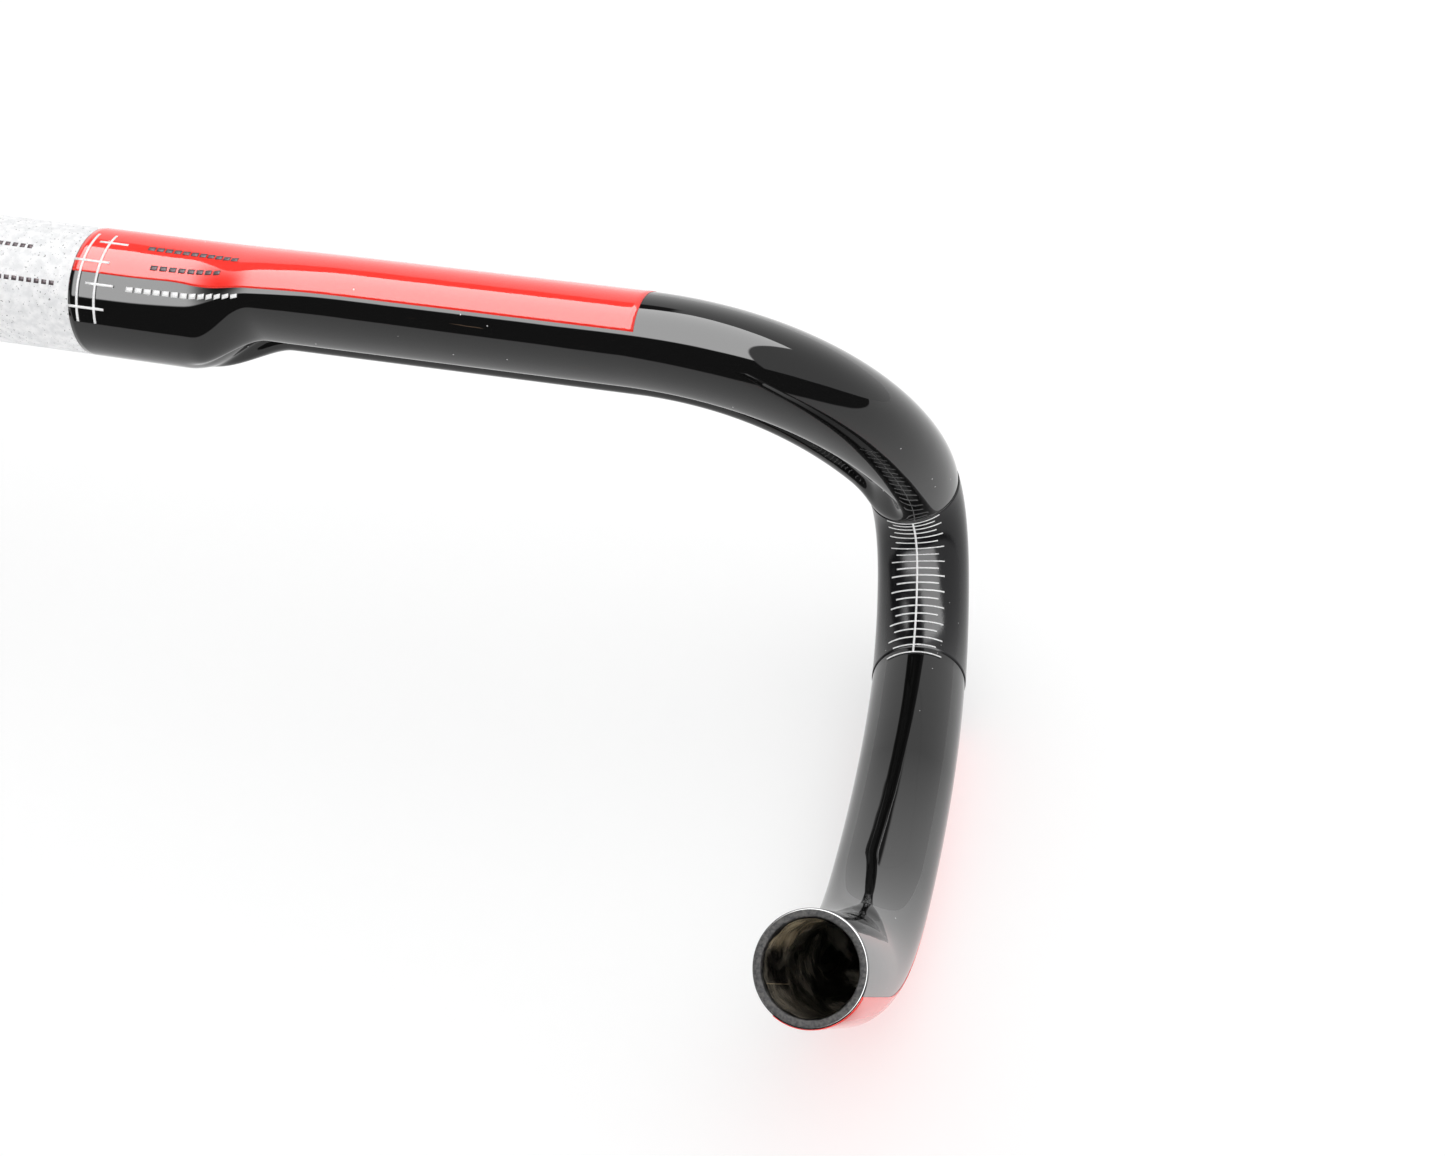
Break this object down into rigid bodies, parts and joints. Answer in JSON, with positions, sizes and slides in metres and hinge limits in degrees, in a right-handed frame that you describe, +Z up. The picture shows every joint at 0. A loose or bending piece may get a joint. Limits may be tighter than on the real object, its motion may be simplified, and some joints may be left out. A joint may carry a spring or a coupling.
{
  "type": "road drop handlebar",
  "caption": "Carbon road drop handlebar with a round stem clamp zone, flattened tops, an underside cable channel and satin lever zones.",
  "frame": {"origin": "centre of the stem clamp zone, on the clamp axis", "axes": "+X to the rider's right along the clamp axis, +Y forward, +Z up, with the bar pitched as it lies on a bench on its two hooks; turning it 45.6 degrees about +X brings the drops level, as it is ridden"},
  "size_m": [0.4968, 0.1907, 0.1257],
  "materials": {
    "gloss_carbon": "clear-coated black carbon fibre laminate, deep gloss",
    "speckled_coat": "pale grey textured coat with fine dark specks",
    "satin_black": "satin black grip coat",
    "red_film": "coral red under clear coat",
    "white_print": "thin white screen print",
    "dark_print": "thin dark screen print",
    "raw_carbon": "bare laminate",
    "epoxy": "cured adhesive",
    "nylon_film": "wrinkled translucent moulding film"
  },
  "bodies": {
    "root": {"centre_section": "gloss_carbon", "clamp_coat": "speckled_coat", "clamp_bar_upper": "dark_print", "clamp_bar_lower": "dark_print", "right_hook": "gloss_carbon", "right_joint_adhesive": "epoxy", "right_joint_sleeve": "raw_carbon", "right_bladder_film": "nylon_film", "right_lever_coat": "satin_black", "right_lever_scale": "white_print", "right_drop_stripe": "red_film", "right_red_stripe": "red_film", "right_alignment_marks": "white_print", "right_note_bar_upper": "dark_print", "right_note_bar_middle": "dark_print", "right_note_bar_lower": "white_print", "left_hook": "gloss_carbon", "left_joint_adhesive": "epoxy", "left_joint_sleeve": "raw_carbon", "left_bladder_film": "nylon_film", "left_lever_coat": "satin_black", "left_lever_scale": "white_print", "left_drop_stripe": "red_film", "left_red_stripe": "red_film", "left_alignment_marks": "white_print", "left_note_bar_upper": "dark_print", "left_note_bar_middle": "dark_print", "left_note_bar_lower": "white_print"}
  },
  "joints": []
}
